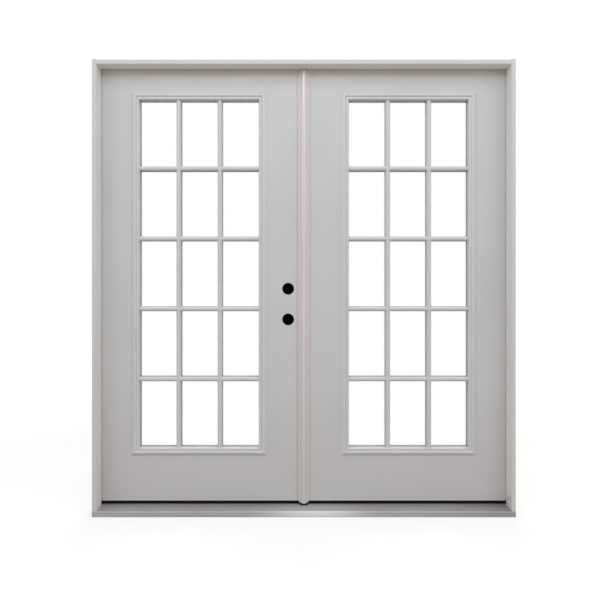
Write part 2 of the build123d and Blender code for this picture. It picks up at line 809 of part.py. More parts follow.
def astragal_seals():
    """Strip behind the nose against the active leaf, and the two end boots."""
    foot, top = astragal_limits()
    strip = slab(meeting_x - astragal_seal_width, meeting_x, leaf_out_y - astragal_seal_gap,
                 leaf_out_y - soft_clearance, leaf_bottom, top - astragal_end_radius)
    return [strip, boot(leaf_top, head_rabbet_z - soft_clearance),
            boot(riser_height + sweep_clearance, leaf_bottom)]


os.makedirs("parts", exist_ok=True)

leg = left_leg()
save("left_jamb", leg)
save("right_jamb", other_side(leg))
save("head_jamb", head())
save("sill_base", sill_base())
save("sill_tread", sill_tread())
save("sill_riser", sill_riser())
seal = leg_seal()
save("left_weatherstrip", seal)
save("right_weatherstrip", other_side(seal))
save("head_weatherstrip", head_seal())
save("corner_pads", [corner_pad(), other_side(corner_pad()), sill_pad()])
corner_screws = frame_screws()
save("frame_screws", corner_screws + [other_side(piece) for piece in corner_screws])
jamb_screws = hinge_screws(rabbet_x, back_x)
save("jamb_hinge_screws", jamb_screws + [other_side(piece) for piece in jamb_screws])
jamb_leaves = hinge_leaves(rabbet_x - hinge_plate_wall, rabbet_x, (0, 2, 4),
                           hinge_screws(rabbet_x, back_x, fit_clearance))
save("jamb_hinges", jamb_leaves + [other_side(piece) for piece in jamb_leaves])
save("active_hinge_pins", hinge_pins())
save("passive_hinge_pins", [other_side(pin) for pin in hinge_pins()])
save("head_strike", bolt_strike())
save("sill_bolt_socket", bolt_socket())

for name, piece in leaf_pieces(lock_bores()).items():
    save("active_" + name, piece)
block = lock_block()
save("active_lock_block", block - lock_bores())
save("active_foam_core", foam_core() - block - lock_bores())
save("active_bore_caps", bore_caps())

passive = leaf_pieces([])
passive["foam_core"] = foam_core()
passive["meeting_stile"] = other_side(other_side(passive.pop("lock_stile")) - astragal_screws(fit_clearance))
for name, piece in passive.items():
    mirrored = [other_side(item) for item in piece] if isinstance(piece, list) else other_side(piece)
    save("passive_" + name, mirrored)

save("astragal_stem", stem_bar())
save("astragal_nose", nose_strip())
save("astragal_seals", astragal_seals())
save("astragal_screws", astragal_screws())
save("strike_plates", [plate - strike_pockets() for plate in strike_blanks()])
save("top_bolt", bolt(top_bolt_end, back_down, top_tab_z))
save("bottom_bolt", bolt(bottom_bolt_end, along_z, bottom_tab_z))
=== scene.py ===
import math

import bmesh
import bpy
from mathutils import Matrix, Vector


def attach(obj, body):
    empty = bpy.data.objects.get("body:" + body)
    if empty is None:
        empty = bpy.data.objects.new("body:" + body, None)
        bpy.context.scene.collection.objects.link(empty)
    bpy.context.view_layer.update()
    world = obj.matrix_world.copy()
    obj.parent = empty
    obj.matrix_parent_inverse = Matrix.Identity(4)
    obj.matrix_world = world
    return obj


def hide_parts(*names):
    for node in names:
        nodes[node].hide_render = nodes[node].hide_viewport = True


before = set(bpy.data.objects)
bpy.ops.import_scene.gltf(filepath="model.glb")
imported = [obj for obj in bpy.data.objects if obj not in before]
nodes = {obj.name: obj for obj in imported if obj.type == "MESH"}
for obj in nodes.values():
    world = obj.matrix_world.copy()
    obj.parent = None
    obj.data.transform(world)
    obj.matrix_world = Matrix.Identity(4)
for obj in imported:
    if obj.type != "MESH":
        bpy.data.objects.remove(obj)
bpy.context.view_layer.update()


# Sill: a bent sheet of satin aluminium, drawn along its length, over a moulded composite base.
# Its nose faces the weather, and a dark moulded riser fits on its back edge, under the leaves.
# A painted reflection brightens its middle, most on the nose; it is darker along its lower edge,
# and grime gathers at its right end.

def new_finish(name, metallic=0.0, roughness=0.5):
    """Node material with its shader, and the piece's own coordinates."""
    finish = bpy.data.materials.new(name)
    finish.use_nodes = True
    tree = finish.node_tree
    shader = tree.nodes["Principled BSDF"]
    shader.inputs["Metallic"].default_value = metallic
    shader.inputs["Roughness"].default_value = roughness
    place = tree.nodes.new("ShaderNodeTexCoord")
    return finish, tree, shader, place.outputs["Object"]


def put(tree, value, socket):
    """Sets a socket to a number or a colour, or joins it to another socket."""
    if isinstance(value, bpy.types.NodeSocket):
        tree.links.new(value, socket)
    elif socket.type == "RGBA":
        socket.default_value = (*value, 1.0)
    else:
        socket.default_value = value


def along_axis(tree, axis):
    """Place along one axis of the piece's own coordinates."""
    place = tree.nodes.new("ShaderNodeTexCoord")
    axes = tree.nodes.new("ShaderNodeSeparateXYZ")
    tree.links.new(place.outputs["Object"], axes.inputs["Vector"])
    return axes.outputs[axis]


def calculated(tree, operation, first, second):
    """Sum, product or other result of two values."""
    result = tree.nodes.new("ShaderNodeMath")
    result.operation = operation
    put(tree, first, result.inputs[0])
    put(tree, second, result.inputs[1])
    return result.outputs["Value"]


def away_from(tree, axis, middle):
    """Distance from a plane across one axis."""
    offset = calculated(tree, "SUBTRACT", along_axis(tree, axis), middle)
    return calculated(tree, "MAXIMUM", offset, calculated(tree, "MULTIPLY", offset, -1.0))


def stretched(tree, vector, along):
    """Coordinates drawn out along an axis, for grain and brushing."""
    drawn = tree.nodes.new("ShaderNodeVectorMath")
    drawn.operation = "MULTIPLY"
    put(tree, vector, drawn.inputs[0])
    put(tree, along, drawn.inputs[1])
    return drawn.outputs["Vector"]


def two_tone(tree, share, first, second):
    """Colour that goes from the first to the second as the share grows."""
    mix = tree.nodes.new("ShaderNodeMix")
    mix.data_type = "RGBA"
    share_socket, first_socket, second_socket = mix.inputs[0], mix.inputs[6], mix.inputs[7]
    put(tree, share, share_socket)
    put(tree, first, first_socket)
    put(tree, second, second_socket)
    return mix.outputs[2]


def ramped(tree, value, low, high, out_low=0.0, out_high=1.0):
    """Value stretched from one span to another, and held at its ends."""
    span = tree.nodes.new("ShaderNodeMapRange")
    put(tree, value, span.inputs["Value"])
    put(tree, low, span.inputs["From Min"])
    put(tree, high, span.inputs["From Max"])
    put(tree, out_low, span.inputs["To Min"])
    put(tree, out_high, span.inputs["To Max"])
    return span.outputs["Result"]


def clouds(tree, vector, scale, detail=2.0):
    """Noise over the surface."""
    noise = tree.nodes.new("ShaderNodeTexNoise")
    put(tree, vector, noise.inputs["Vector"])
    put(tree, scale, noise.inputs["Scale"])
    put(tree, detail, noise.inputs["Detail"])
    return noise.outputs["Fac"]


def bump(tree, shader, height, strength, distance):
    """Relief of the surface, with its depth in metres."""
    relief = tree.nodes.new("ShaderNodeBump")
    relief.inputs["Strength"].default_value = strength
    relief.inputs["Distance"].default_value = distance
    tree.links.new(height, relief.inputs["Height"])
    tree.links.new(relief.outputs["Normal"], shader.inputs["Normal"])


def cover(finish, *names):
    """Gives CAD pieces their finish."""
    for name in names:
        mesh = nodes[name].data
        mesh.materials.clear()
        mesh.materials.append(finish)


def effect_group(name, vectors, colours, values, measures=("Roughness", "Height")):
    """Empty shader node group with named inputs, which puts out a colour and some measures."""
    group = bpy.data.node_groups.new(name, "ShaderNodeTree")
    for kind, names in (("Vector", vectors), ("Color", colours), ("Float", values)):
        for socket in names:
            group.interface.new_socket(socket, in_out="INPUT", socket_type="NodeSocket" + kind)
    for kind, names in (("Color", ("Color",)), ("Float", measures)):
        for socket in names:
            group.interface.new_socket(socket, in_out="OUTPUT", socket_type="NodeSocket" + kind)
    given = group.nodes.new("NodeGroupInput").outputs
    made = group.nodes.new("NodeGroupOutput").inputs
    return group, given, made


def with_effect(tree, group, **values):
    """Places an effect in a material; line_scale sets its Line Scale, and so on."""
    effect = tree.nodes.new("ShaderNodeGroup")
    effect.node_tree = group
    for name, value in values.items():
        put(tree, value, effect.inputs[name.replace("_", " ").title()])
    return effect.outputs


def finished(name, effect, metallic, sharpness, relief, **values):
    """Material that takes its colour, gloss and relief from one effect."""
    finish, tree, shader, place = new_finish(name, metallic)
    made = with_effect(tree, effect, vector=place, **values)
    tree.links.new(made["Color"], shader.inputs["Base Color"])
    tree.links.new(made["Roughness"], shader.inputs["Roughness"])
    bump(tree, shader, made["Height"], sharpness, relief)
    return finish, tree, shader, place


def drawn_metal_group():
    """Lines and cloudy patches of metal that was rolled, drawn or brushed one way."""
    line_detail, line_low, line_high = 5.0, 0.3, 0.7
    patch_detail, patch_low, patch_high = 3.0, 0.45, 0.75
    group, given, made = effect_group(
        "drawn_metal", ("Vector", "Along"), ("Bright", "Dull", "Stain"),
        ("Line Scale", "Patch Scale", "Smooth", "Rough"))
    drawn = stretched(group, given["Vector"], given["Along"])
    lines = clouds(group, drawn, given["Line Scale"], line_detail)
    patches = clouds(group, given["Vector"], given["Patch Scale"], patch_detail)
    brightness = ramped(group, lines, line_low, line_high)
    stained = ramped(group, patches, patch_low, patch_high)
    tone = two_tone(group, brightness, given["Dull"], given["Bright"])
    wear = ramped(group, patches, 0.0, 1.0, given["Smooth"], given["Rough"])
    group.links.new(two_tone(group, stained, tone, given["Stain"]), made["Color"])
    group.links.new(wear, made["Roughness"])
    group.links.new(lines, made["Height"])
    return group


drawn_metal = drawn_metal_group()


def metal_finish(name, metallic, relief, **lines):
    """Bare metal with lines along one axis."""
    line_sharpness = 0.3
    return finished(name, drawn_metal, metallic, line_sharpness, relief, **lines)


def fading_layer_group():
    """Dust, grime, polish or a coat that is full at one place and fades to none at another."""
    group, given, made = effect_group(
        "fading_layer", (), ("Color", "Coat"), ("Place", "Full At", "None At", "Amount"), ())
    share = ramped(group, given["Place"], given["Full At"], given["None At"], given["Amount"], 0.0)
    group.links.new(two_tone(group, share, given["Color"], given["Coat"]), made["Color"])
    return group


fading_layer = fading_layer_group()


def lay_over(tree, shader, coat, place, full_at, none_at, amount=1.0):
    """Lays dust, grime or another coat over the colour that a finish has so far."""
    so_far = shader.inputs["Base Color"].links[0].from_socket
    layer = with_effect(tree, fading_layer, color=so_far, coat=coat, place=place,
                        full_at=full_at, none_at=none_at, amount=amount)
    tree.links.new(layer["Color"], shader.inputs["Base Color"])


nose_grey = (0.26, 0.255, 0.26)
nose_front = -0.056
nose_back = -0.048
nose_share = 0.10
painted_reflection = (0.80, 0.80, 0.81)
reflection_middle = 0.05
reflection_reach = 0.34
reflection_on_nose = 0.85
reflection_on_tread = 0.35
lower_edge_grey = (0.20, 0.195, 0.20)
lower_edge_low = 0.001
lower_edge_high = 0.007
lower_edge_share = 0.55
grime_brown = (0.24, 0.20, 0.175)
grime_start = 0.62
grime_end = 0.94
grime_share = 0.45

sill_aluminium, tree, shader, place = metal_finish(
    "satin_aluminium", metallic=0.4, relief=0.0002,
    along=(0.004, 1.0, 1.0), line_scale=700.0, patch_scale=5.0,
    bright=(0.49, 0.49, 0.51), dull=(0.37, 0.37, 0.39), stain=(0.41, 0.385, 0.42),
    smooth=0.36, rough=0.52)
lay_over(tree, shader, nose_grey, along_axis(tree, "Y"), nose_front, nose_back, nose_share)
# Painted reflection: a bright patch across the middle, strongest on the nose and fainter on the
# tread.
reflection_across = ramped(tree, away_from(tree, "X", reflection_middle), 0.0, reflection_reach, reflection_on_nose, 0.0)
reflection_across.node.interpolation_type = "SMOOTHSTEP"
reflection_down_tread = ramped(tree, along_axis(tree, "Y"), nose_front, nose_back, 1.0, reflection_on_tread)
reflection_share = calculated(tree, "MULTIPLY", reflection_across, reflection_down_tread)
lay_over(tree, shader, painted_reflection, reflection_share, full_at=1.0, none_at=0.0)
# Darker along the nose's lower edge.
lay_over(tree, shader, lower_edge_grey, along_axis(tree, "Z"), lower_edge_low, lower_edge_high, lower_edge_share)
lay_over(tree, shader, grime_brown, along_axis(tree, "X"), grime_end, grime_start, grime_share)
cover(sill_aluminium, "sill_tread")


def moulded_bloom_group():
    """Faint bloom and fine matt grain of moulded plastic, foam or rubber."""
    bloom_scale, bloom_detail, bloom_low, bloom_high = 14.0, 4.0, 0.4, 0.75
    group, given, made = effect_group(
        "moulded_bloom", ("Vector",), ("Dark", "Pale"), ("Grain Scale", "Smooth", "Rough"))
    patches = clouds(group, given["Vector"], bloom_scale, bloom_detail)
    bloom = ramped(group, patches, bloom_low, bloom_high)
    grain = clouds(group, given["Vector"], given["Grain Scale"])
    matt = ramped(group, bloom, 0.0, 1.0, given["Smooth"], given["Rough"])
    group.links.new(two_tone(group, bloom, given["Dark"], given["Pale"]), made["Color"])
    group.links.new(matt, made["Roughness"])
    group.links.new(grain, made["Height"])
    return group


moulded_bloom = moulded_bloom_group()


def dark_moulding_finish(name, dark, pale, grain_scale, roughness, gloss=0.25):
    """Dark moulded plastic, foam or rubber."""
    grain_sharpness = 0.25
    grain_relief = 0.0003
    bloom_roughness = 0.15
    finish, tree, shader, place = finished(
        name, moulded_bloom, 0.0, grain_sharpness, grain_relief, dark=dark, pale=pale,
        grain_scale=grain_scale, smooth=roughness, rough=roughness + bloom_roughness)
    shader.inputs["Specular IOR Level"].default_value = gloss
    return finish


# Painted shade: the riser is near-black with a plum cast, darker than dark composite, to stand for
# the shade in the gap under the leaves.
riser_composite_gap_shade = dark_moulding_finish(
    "riser_composite_gap_shade", dark=(0.010, 0.005, 0.007), pale=(0.016, 0.009, 0.012),
    grain_scale=900.0, roughness=0.6, gloss=0.1)
base_composite = dark_moulding_finish(
    "base_composite", dark=(0.16, 0.155, 0.15), pale=(0.21, 0.205, 0.20),
    grain_scale=500.0, roughness=0.7)
cover(riser_composite_gap_shade, "sill_riser")
cover(base_composite, "sill_base")


# Frame: two legs and a head of finger-jointed softwood, rabbeted for the leaves and primed white.
# The head is screwed between the legs, which stand a little above it.
# Painted shade greys the faces that stand out in front, so they render no brighter than the
# reveals; the right leg's foot is scuffed.

def primer_group():
    """Brushed or sprayed primer: cloudy colour, uneven gloss and a fine relief."""
    patch_detail, patch_low, patch_high = 4.0, 0.35, 0.7
    grain_detail = 3.0
    group, given, made = effect_group(
        "primer", ("Vector", "Along"), ("Clean", "Tinted"),
        ("Patch Scale", "Grain Scale", "Smooth", "Rough"))
    patches = clouds(group, given["Vector"], given["Patch Scale"], patch_detail)
    brushed = stretched(group, given["Vector"], given["Along"])
    grain = clouds(group, brushed, given["Grain Scale"], grain_detail)
    tint = ramped(group, patches, patch_low, patch_high)
    gloss = ramped(group, grain, 0.0, 1.0, given["Smooth"], given["Rough"])
    group.links.new(two_tone(group, tint, given["Clean"], given["Tinted"]), made["Color"])
    group.links.new(gloss, made["Roughness"])
    group.links.new(grain, made["Height"])
    return group


primer = primer_group()


def primed_finish(name, relief, **coat):
    """Pale primer over wood, steel or plastic."""
    peel_sharpness = 0.2
    return finished(name, primer, 0.0, peel_sharpness, relief, **coat)


warm_white = (0.770, 0.752, 0.730)
warm_tint = (0.735, 0.712, 0.684)
front_shade_grey = (0.560, 0.558, 0.552)
front_shade_face = -0.0577
front_shade_edge = -0.0562
scuff_brown = (0.20, 0.17, 0.145)
scuff_low = 0.05
scuff_high = 0.11
scuff_share = 0.8
mark_low = 0.50
mark_high = 0.60
right_leg_start = 0.90
right_leg_end = 0.92
upright = (1.0, 1.0, 0.03)
level = (0.03, 1.0, 1.0)


def jamb_primer(name, along):
    """Warm white primer, brushed along the wood."""
    return primed_finish(
        name, relief=0.0003, along=along, patch_scale=4.0, grain_scale=260.0,
        clean=warm_white, tinted=warm_tint, smooth=0.42, rough=0.62)


def shade_front_faces(tree, shader):
    """Painted shade that greys the front faces, so they render no brighter than the reveals."""
    lay_over(tree, shader, front_shade_grey, along_axis(tree, "Y"), front_shade_face, front_shade_edge)


leg_primer, tree, shader, place = jamb_primer("leg_primer", upright)
right_leg = ramped(tree, along_axis(tree, "X"), right_leg_start, right_leg_end, 0.0, scuff_share)
marks = ramped(tree, clouds(tree, place, scale=85.0, detail=5.0), mark_low, mark_high)
scuffed = calculated(tree, "MULTIPLY", right_leg, marks)
lay_over(tree, shader, scuff_brown, along_axis(tree, "Z"), scuff_low, scuff_high, scuffed)
shade_front_faces(tree, shader)
cover(leg_primer, "left_jamb", "right_jamb")

head_primer, tree, shader, place = jamb_primer("head_primer", level)
shade_front_faces(tree, shader)
cover(head_primer, "head_jamb")


# Seals: kerf-in weatherstrips along the legs and the head, and pads at the feet of the rabbets.
# Extruded dark plastic foam, pressed into the frame's kerfs.

seal_foam = dark_moulding_finish(
    "seal_foam", dark=(0.020, 0.017, 0.020), pale=(0.035, 0.030, 0.034),
    grain_scale=1200.0, roughness=0.75)
cover(seal_foam, "left_weatherstrip", "right_weatherstrip", "head_weatherstrip", "corner_pads")


# Leaf cores: softwood stiles and rails round a block of rigid foam, with a near-black lock block,
# its colour painted shade for the bores.
# They are glued between the steel skins, and show only at the leaf's edges and in the bores.

def softwood_group():
    """Planed softwood with its grain along one axis."""
    ring_scale, ring_detail, ring_low, ring_high = 190.0, 6.0, 0.35, 0.68
    rough_low, rough_high = 0.3, 0.7
    group, given, made = effect_group(
        "softwood", ("Vector", "Along"), ("Pale", "Dark"), ("Smooth", "Rough"))
    drawn = stretched(group, given["Vector"], given["Along"])
    grain = clouds(group, drawn, ring_scale, ring_detail)
    rings = ramped(group, grain, ring_low, ring_high)
    planed = ramped(group, grain, rough_low, rough_high, given["Smooth"], given["Rough"])
    group.links.new(two_tone(group, rings, given["Pale"], given["Dark"]), made["Color"])
    group.links.new(planed, made["Roughness"])
    group.links.new(grain, made["Height"])
    return group


softwood = softwood_group()


def softwood_finish(name, along):
    """Bare pine."""
    grain_sharpness = 0.3
    grain_relief = 0.0004
    return finished(
        name, softwood, 0.0, grain_sharpness, grain_relief, along=along,
        pale=(0.56, 0.40, 0.24), dark=(0.40, 0.26, 0.14), smooth=0.5, rough=0.7)[0]


cover(softwood_finish("stile_pine", upright), "active_hinge_stile", "active_lock_stile",
      "passive_hinge_stile", "passive_meeting_stile")
cover(softwood_finish("rail_pine", level), "active_top_rail", "active_bottom_rail",
      "passive_top_rail", "passive_bottom_rail")

# Painted shade: the lock block lines the bores and is near-black, so they read as deep holes in
# shade.
lock_composite_bore_shade = dark_moulding_finish(
    "lock_composite_bore_shade", dark=(0.002, 0.002, 0.002), pale=(0.004, 0.004, 0.004),
    grain_scale=700.0, roughness=0.8, gloss=0.03)
cover(lock_composite_bore_shade, "active_lock_block")

foam_yellow = (0.70, 0.60, 0.36)
foam_brown = (0.62, 0.51, 0.28)
foam, tree, shader, place = new_finish("core_foam", roughness=0.9)
cells = clouds(tree, place, scale=600.0, detail=3.0)
tree.links.new(two_tone(tree, cells, foam_yellow, foam_brown), shader.inputs["Base Color"])
bump(tree, shader, cells, strength=0.6, distance=0.0006)
cover(foam, "active_foam_core", "passive_foam_core")


# Skins: steel sheet on both faces of each leaf, folded over the stiles' edges.
# Smooth, sprayed with a pale neutral primer that dries with a faint orange peel.
# On the outer skin, painted warm bounce light tints the band in the head's shade cream, and painted
# shade darkens it towards the foot.

every_way = (1.0, 1.0, 1.0)
skin_gloss = 0.35
bounce_light_cream = (0.620, 0.568, 0.522)
bounce_light_low = 1.955
bounce_light_high = 2.005
bounce_light_share = 0.7
foot_shade = (0.490, 0.455, 0.445)
foot_shade_low = 0.05
skin_shade_high = 0.75
skin_shade_share = 0.35
outer_skin_back = 0.020
inner_skin_front = 0.030

steel_primer, tree, shader, place = primed_finish(
    "steel_primer", relief=0.0002, along=every_way, patch_scale=2.6, grain_scale=420.0,
    clean=(0.562, 0.566, 0.582), tinted=(0.534, 0.535, 0.548), smooth=0.36, rough=0.50)
shader.inputs["Specular IOR Level"].default_value = skin_gloss
depth = along_axis(tree, "Y")
bounce_lit = ramped(tree, depth, outer_skin_back, inner_skin_front, bounce_light_share, 0.0)
foot_shaded = ramped(tree, depth, outer_skin_back, inner_skin_front, skin_shade_share, 0.0)
height = along_axis(tree, "Z")
# Painted warm bounce light: the outer skin's band under the head is tinted cream.
lay_over(tree, shader, bounce_light_cream, height, bounce_light_high, bounce_light_low, bounce_lit)
# Painted shade: the outer skin darkens towards the foot.
lay_over(tree, shader, foot_shade, height, foot_shade_low, skin_shade_high, foot_shaded)
cover(steel_primer, "active_outer_skin", "active_inner_skin", "passive_outer_skin",
      "passive_inner_skin")


# Lite frames: one white moulding with its muntins on each face of each leaf, screwed together.
# Grey glazing tape beds them on the glass; that grey on their glass-facing backs is also painted
# shade, as seen through the glass.
# The screw heads lie under caps in the groove of the indoor frame.

tape_and_shade_grey = (0.24, 0.24, 0.245)
tape_and_shade_depth = 0.0118
tape_and_shade_fade = 0.0003
glass_middle = 0.03575

moulding_white, tree, shader, place = primed_finish(
    "moulding_white", relief=0.00012, along=every_way, patch_scale=6.0, grain_scale=650.0,
    clean=(0.590, 0.590, 0.594), tinted=(0.565, 0.563, 0.566), smooth=0.32, rough=0.44)
from_glass = away_from(tree, "Y", glass_middle)
# Glazing tape, and painted shade: the glass-facing backs are grey.
lay_over(tree, shader, tape_and_shade_grey, from_glass, tape_and_shade_depth, tape_and_shade_depth + tape_and_shade_fade)
cover(moulding_white, "active_outer_lite_frame", "active_inner_lite_frame",
      "passive_outer_lite_frame", "passive_inner_lite_frame", "active_lite_plugs",
      "passive_lite_plugs")


# Glass: two sealed panes of clear float glass in each leaf, held apart by a spacer channel.
# The spacer's edge and its sealant show as a thin dark line inside the lite frame.

clear_white = (1.0, 1.0, 1.0)
clear_green = (0.996, 0.999, 0.998)
glass_bending = 1.5

pane_clear, tree, shader, place = new_finish("pane_clear", roughness=0.0)
shader.inputs["Transmission Weight"].default_value = 1.0
shader.inputs["IOR"].default_value = glass_bending
waves = clouds(tree, place, scale=1.6)
tree.links.new(two_tone(tree, waves, clear_white, clear_green), shader.inputs["Base Color"])
path = tree.nodes.new("ShaderNodeLightPath")
clear = tree.nodes.new("ShaderNodeBsdfTransparent")
lit = tree.nodes.new("ShaderNodeMixShader")
tree.links.new(path.outputs["Is Shadow Ray"], lit.inputs["Fac"])
tree.links.new(shader.outputs["BSDF"], lit.inputs[1])
tree.links.new(clear.outputs["BSDF"], lit.inputs[2])
tree.links.new(lit.outputs["Shader"], tree.nodes["Material Output"].inputs["Surface"])
cover(pane_clear, "active_outer_glass", "active_inner_glass", "passive_outer_glass",
      "passive_inner_glass")

spacer_dark = metal_finish(
    "spacer_metal", metallic=1.0, relief=0.0001,
    along=every_way, line_scale=500.0, patch_scale=20.0,
    bright=(0.30, 0.30, 0.31), dull=(0.20, 0.20, 0.205), stain=(0.24, 0.24, 0.245),
    smooth=0.45, rough=0.6)[0]
cover(spacer_dark, "active_glass_spacer", "passive_glass_spacer")


# Sweeps: finned rubber strips stapled under the leaves, which brush the riser.
# Extruded in one length for each leaf.

sweep_rubber = dark_moulding_finish(
    "sweep_rubber", dark=(0.007, 0.004, 0.006), pale=(0.012, 0.007, 0.010),
    grain_scale=1100.0, roughness=0.65, gloss=0.08)
cover(sweep_rubber, "active_sweep", "passive_sweep")


# Hinges: three plated steel butts to a leaf, with loose pins and countersunk screws.
# Plates let in flush with the wood; knuckles stand proud of the indoor face.

hinge_steel = metal_finish(
    "hinge_steel", metallic=1.0, relief=0.00008,
    along=(1.0, 1.0, 0.02), line_scale=900.0, patch_scale=40.0,
    bright=(0.62, 0.60, 0.56), dull=(0.48, 0.465, 0.435), stain=(0.50, 0.48, 0.45),
    smooth=0.28, rough=0.42)[0]
cover(hinge_steel, "jamb_hinges", "active_leaf_hinges", "passive_leaf_hinges",
      "active_hinge_pins", "passive_hinge_pins")


# Screws: countersunk steel screws with cross recesses, turned from wire and zinc plated.
# Driven flush through hinge plates, astragal and frame corners; each stops at its own angle.
# They take their places and sizes from the solids.

screw_zinc = metal_finish(
    "screw_zinc", metallic=1.0, relief=0.00005,
    along=every_way, line_scale=1500.0, patch_scale=120.0,
    bright=(0.60, 0.60, 0.58), dull=(0.42, 0.42, 0.42), stain=(0.55, 0.53, 0.46),
    smooth=0.25, rough=0.40)[0]
cover(screw_zinc, "active_lite_screws", "passive_lite_screws")


def screw_tree():
    """Screws on points that carry their aim: head, shank, cross recess and a turn of their own."""
    round_sides = 32
    recess_reach = 1.2
    overlap_share = 0.8
    tree = bpy.data.node_groups.new("countersunk_screws", "GeometryNodeTree")
    face = tree.interface
    face.new_socket("Geometry", in_out="INPUT", socket_type="NodeSocketGeometry")
    for name in ("Head Radius", "Head Height", "Shank Radius", "Length", "Recess Width",
                 "Recess Depth"):
        face.new_socket(name, in_out="INPUT", socket_type="NodeSocketFloat")
    face.new_socket("Seed", in_out="INPUT", socket_type="NodeSocketInt")
    face.new_socket("Finish", in_out="INPUT", socket_type="NodeSocketMaterial")
    face.new_socket("Geometry", in_out="OUTPUT", socket_type="NodeSocketGeometry")
    link = tree.links.new
    given = tree.nodes.new("NodeGroupInput").outputs
    head = tree.nodes.new("GeometryNodeMeshCone")
    head.inputs["Vertices"].default_value = round_sides
    link(given["Head Radius"], head.inputs["Radius Bottom"])
    link(given["Shank Radius"], head.inputs["Radius Top"])
    link(given["Head Height"], head.inputs["Depth"])
    overlap = calculated(tree, "MULTIPLY", given["Head Height"], overlap_share)
    shank = tree.nodes.new("GeometryNodeMeshCylinder")
    shank.inputs["Vertices"].default_value = round_sides
    link(given["Shank Radius"], shank.inputs["Radius"])
    link(calculated(tree, "SUBTRACT", given["Length"], overlap), shank.inputs["Depth"])
    shank_ends = calculated(tree, "ADD", given["Length"], overlap)
    middle = tree.nodes.new("ShaderNodeCombineXYZ")
    link(calculated(tree, "MULTIPLY", shank_ends, 0.5), middle.inputs["Z"])
    placed = tree.nodes.new("GeometryNodeTransform")
    link(shank.outputs["Mesh"], placed.inputs["Geometry"])
    link(middle.outputs["Vector"], placed.inputs["Translation"])
    body = tree.nodes.new("GeometryNodeMeshBoolean")
    body.operation = "UNION"
    body.solver = "EXACT"
    link(head.outputs["Mesh"], body.inputs["Mesh 2"])
    link(placed.outputs["Geometry"], body.inputs["Mesh 2"])
    cut = tree.nodes.new("GeometryNodeMeshBoolean")
    cut.operation = "DIFFERENCE"
    cut.solver = "EXACT"
    link(body.outputs["Mesh"], cut.inputs["Mesh 1"])
    reach = calculated(tree, "MULTIPLY", given["Head Radius"], recess_reach)
    twice_deep = calculated(tree, "MULTIPLY", given["Recess Depth"], 2.0)
    for along, across in (("X", "Y"), ("Y", "X")):
        size = tree.nodes.new("ShaderNodeCombineXYZ")
        link(reach, size.inputs[along])
        link(given["Recess Width"], size.inputs[across])
        link(twice_deep, size.inputs["Z"])
        blade = tree.nodes.new("GeometryNodeMeshCube")
        link(size.outputs["Vector"], blade.inputs["Size"])
        link(blade.outputs["Mesh"], cut.inputs["Mesh 2"])
    aim = tree.nodes.new("GeometryNodeInputNamedAttribute")
    aim.data_type = "FLOAT_VECTOR"
    aim.inputs["Name"].default_value = "aim"
    aimed = tree.nodes.new("FunctionNodeAlignRotationToVector")
    aimed.axis = "Z"
    link(aim.outputs["Attribute"], aimed.inputs["Vector"])
    chance = tree.nodes.new("FunctionNodeRandomValue")
    chance.inputs["Max"].default_value = math.pi
    link(given["Seed"], chance.inputs["Seed"])
    turn = tree.nodes.new("FunctionNodeAxisAngleToRotation")
    link(chance.outputs[1], turn.inputs["Angle"])
    turned = tree.nodes.new("FunctionNodeRotateRotation")
    turned.rotation_space = "LOCAL"
    link(aimed.outputs["Rotation"], turned.inputs["Rotation"])
    link(turn.outputs["Rotation"], turned.inputs["Rotate By"])
    driven = tree.nodes.new("GeometryNodeInstanceOnPoints")
    link(given["Geometry"], driven.inputs["Points"])
    link(cut.outputs["Mesh"], driven.inputs["Instance"])
    link(turned.outputs["Rotation"], driven.inputs["Rotation"])
    real = tree.nodes.new("GeometryNodeRealizeInstances")
    link(driven.outputs["Instances"], real.inputs["Geometry"])
    plated = tree.nodes.new("GeometryNodeSetMaterial")
    link(real.outputs["Geometry"], plated.inputs["Geometry"])
    link(given["Finish"], plated.inputs["Material"])
    link(plated.outputs["Geometry"], tree.nodes.new("NodeGroupOutput").inputs["Geometry"])
    return tree


screws_on_points = screw_tree()


def solids_of(name):
    """Points of each separate solid in a CAD piece."""
    same_point = 1e-6
    shape = bmesh.new()
    shape.from_mesh(nodes[name].data)
    bmesh.ops.remove_doubles(shape, verts=shape.verts[:], dist=same_point)
    left = set(shape.verts)
    for first in shape.verts:
        if first not in left:
            continue
        left.remove(first)
        found = [first]
        for vertex in found:
            for edge in vertex.link_edges:
                other = edge.other_vert(vertex)
                if other in left:
                    left.remove(other)
                    found.append(other)
        yield [vertex.co.copy() for vertex in found]
    shape.free()


def screw_measures(points):
    """Start and aim of one solid screw; radius and height of its head, shank radius, length."""
    at_tip = 1e-5
    under_face = 1e-4
    low = Vector(min(point[axis] for point in points) for axis in range(3))
    high = Vector(max(point[axis] for point in points) for axis in range(3))
    spans = high - low
    axis = max(range(3), key=lambda place: abs(spans[place] - sorted(spans)[1]))
    middle = (low + high) / 2

    def off_axis(point):
        return math.dist([point[place] for place in range(3) if place != axis],
                         [middle[place] for place in range(3) if place != axis])

    widest = max(points, key=off_axis)
    tip = max((low[axis], high[axis]), key=lambda end: abs(end - widest[axis]))
    depths = [(abs(point[axis] - widest[axis]), off_axis(point)) for point in points]
    start = middle.copy()
    start[axis] = widest[axis]
    aim = Vector((0.0, 0.0, 0.0))
    aim[axis] = math.copysign(1.0, tip - widest[axis])
    length = abs(tip - widest[axis])
    shank_radius = max(radius for depth, radius in depths if length - depth < at_tip)
    head_height = min(depth for depth, radius in depths if depth > under_face)
    return start, aim, (off_axis(widest), head_height, shank_radius, length)


